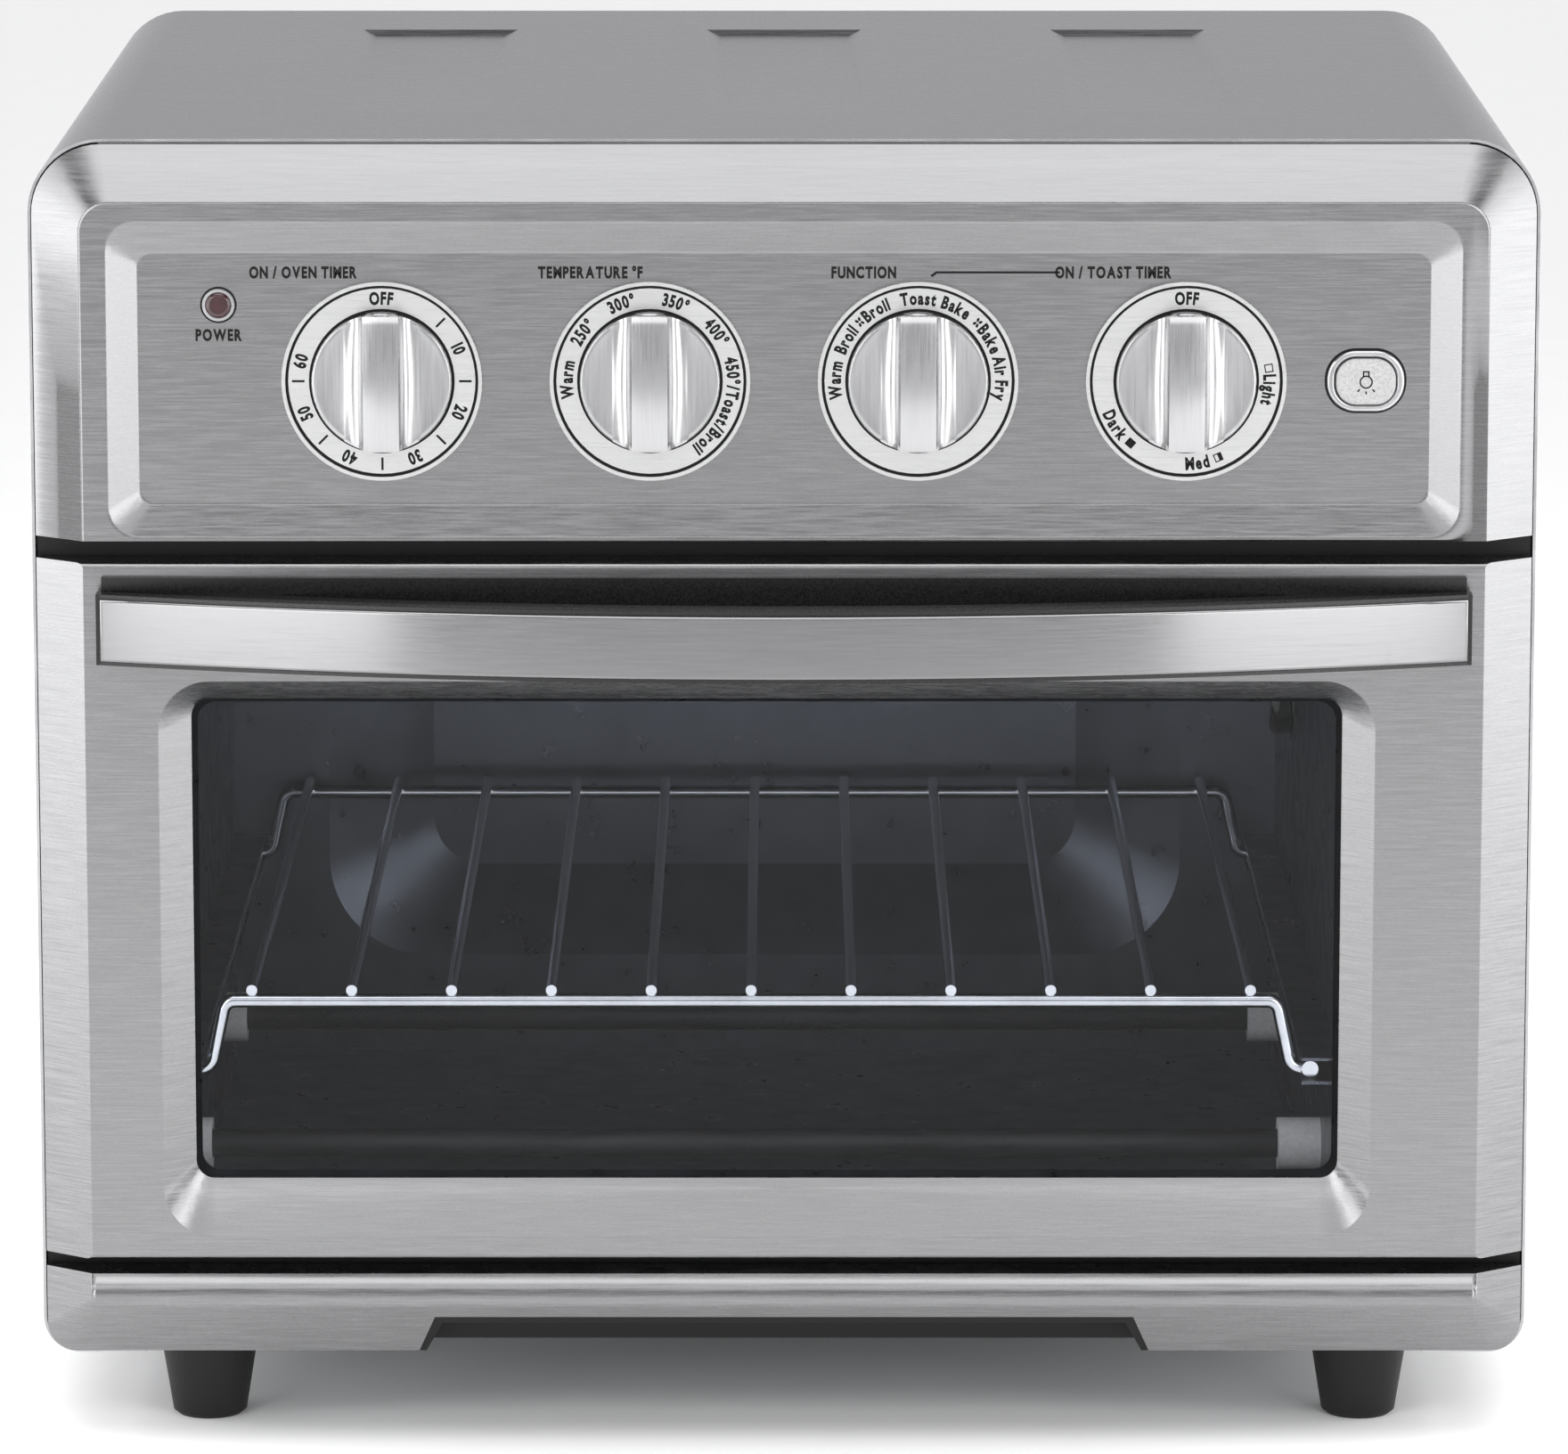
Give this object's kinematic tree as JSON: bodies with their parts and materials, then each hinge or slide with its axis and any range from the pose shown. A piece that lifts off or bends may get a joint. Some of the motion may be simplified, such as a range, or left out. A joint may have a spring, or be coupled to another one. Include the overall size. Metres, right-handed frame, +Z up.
{
  "type": "toaster oven",
  "caption": "Countertop toaster oven with an air-fry fan: brushed steel casing, row of control dials, drop-down glass door, wire rack and pull-out crumb tray.",
  "frame": {"origin": "on the counter, under the middle of the oven's outer box", "axes": "+Z up; the door and dials face -Y; +X is to the right seen from the front"},
  "size_m": [0.406, 0.4, 0.3585],
  "materials": {
    "stainless_brushed": "brushed stainless steel sheet",
    "stainless_satin": "satin plated steel and aluminium trim",
    "knob_satin": "satin brushed knob caps",
    "dial_plate": "pale satin dial plates",
    "oven_steel": "aluminised steel oven lining",
    "plated_steel": "zinc-plated steel frames and brackets",
    "wire_chrome": "bright plated wire",
    "heater_sheath": "dull grey heater sheath",
    "black_plastic": "moulded black heat-resistant plastic",
    "black_rubber": "moulded black rubber",
    "clear_glass": "clear tempered glass",
    "red_lens": "dark red lens",
    "white_ceramic": "white steatite",
    "control_metal": "plated control housings",
    "brown_phenolic": "phenolic moulding",
    "button_silver": "silver finished plastic",
    "screw_steel": "plated screws"
  },
  "bodies": {
    "oven": {"base_plate": "plated_steel", "cavity_back": "oven_steel", "cavity_shell": "oven_steel", "control_bracket": "plated_steel", "control_fascia": "stainless_brushed", "cord_gland": "black_plastic", "cover_screws": "screw_steel", "dial_rings": "dial_plate", "door_hinge_brackets": "plated_steel", "door_hinge_pins": "plated_steel", "fan_guard": "oven_steel", "fan_motor": "control_metal", "feet": "black_rubber", "foot_screws": "screw_steel", "front_frame": "oven_steel", "function_switch": "brown_phenolic", "heater_end_caps": "white_ceramic", "lamp_bulb": "clear_glass", "lamp_cover": "clear_glass", "lamp_socket": "white_ceramic", "light_button_bezel": "stainless_satin", "light_switch": "brown_phenolic", "lower_heaters": "heater_sheath", "motor_bracket": "plated_steel", "outer_cover": "stainless_brushed", "oven_timer": "control_metal", "power_lamp_lens": "red_lens", "power_lamp_ring": "stainless_satin", "rack_guides": "oven_steel", "rear_panel": "plated_steel", "rear_spacers": "black_plastic", "temperature_control": "control_metal", "terminal_block": "brown_phenolic", "thermostat_probe": "oven_steel", "toast_timer": "control_metal", "upper_heaters": "heater_sheath"},
    "door": {"door_panel": "stainless_brushed", "door_glass": "clear_glass", "glass_retainer": "oven_steel", "handle_bar": "black_plastic", "handle_band": "stainless_brushed", "handle_back_plate": "black_plastic", "handle_screws": "screw_steel", "hinge_blocks": "plated_steel", "door_stay_arms": "plated_steel"},
    "rack": {"wire_rack": "wire_chrome"},
    "crumb_tray": {"crumb_tray_front": "stainless_brushed", "crumb_tray_pan": "oven_steel", "tray_grip": "black_plastic"},
    "oven_timer_dial": {"oven_timer_knob": "knob_satin", "oven_timer_shaft": "plated_steel"},
    "temperature_dial": {"temperature_knob": "knob_satin", "temperature_shaft": "plated_steel"},
    "function_dial": {"function_knob": "knob_satin", "function_shaft": "plated_steel"},
    "toast_timer_dial": {"toast_timer_knob": "knob_satin", "toast_timer_shaft": "plated_steel"},
    "light_push": {"light_button": "button_silver"},
    "fan": {"fan_impeller": "oven_steel", "fan_shaft": "plated_steel"}
  },
  "joints": [
    {"name": "door_hinge", "type": "hinge", "parent": "oven", "child": "door", "pos_m": [0, -0.158, 0.0573], "axis": [1, 0, 0], "range_deg": [0, 90], "stiffness_Nm_per_rad": 0.12, "springref_deg": -85.94},
    {"name": "rack_slide", "type": "slide", "parent": "oven", "child": "rack", "axis": [0, -1, 0], "range_m": [0, 0.0785]},
    {"name": "crumb_tray_slide", "type": "slide", "parent": "oven", "child": "crumb_tray", "axis": [0, -1, 0], "range_m": [0, 0.15]},
    {"name": "oven_timer_turn", "type": "hinge", "parent": "oven", "child": "oven_timer_dial", "pos_m": [-0.10785, -0.1554, 0.2943], "axis": [0, 1, 0], "range_deg": [0, 270]},
    {"name": "temperature_turn", "type": "hinge", "parent": "oven", "child": "temperature_dial", "pos_m": [-0.03595, -0.1554, 0.2943], "axis": [0, 1, 0], "range_deg": [-90, 108]},
    {"name": "function_turn", "type": "hinge", "parent": "oven", "child": "function_dial", "pos_m": [0.03595, -0.1554, 0.2943], "axis": [0, 1, 0], "range_deg": [-87, 90]},
    {"name": "toast_timer_turn", "type": "hinge", "parent": "oven", "child": "toast_timer_dial", "pos_m": [0.10785, -0.1554, 0.2943], "axis": [0, 1, 0], "range_deg": [0, 240]},
    {"name": "light_button_press", "type": "slide", "parent": "oven", "child": "light_push", "axis": [0, 1, 0], "range_m": [0, 0.002], "stiffness_N_per_m": 400, "springref_m": -0.001},
    {"name": "fan_spin", "type": "hinge", "parent": "oven", "child": "fan", "pos_m": [-0.009, 0.011, 0.2285], "axis": [0, 0, 1], "continuous": true}
  ],
  "couplings": [
    {"joint": "rack_slide", "follows": "door_hinge", "m_per_rad": 0.05}
  ]
}
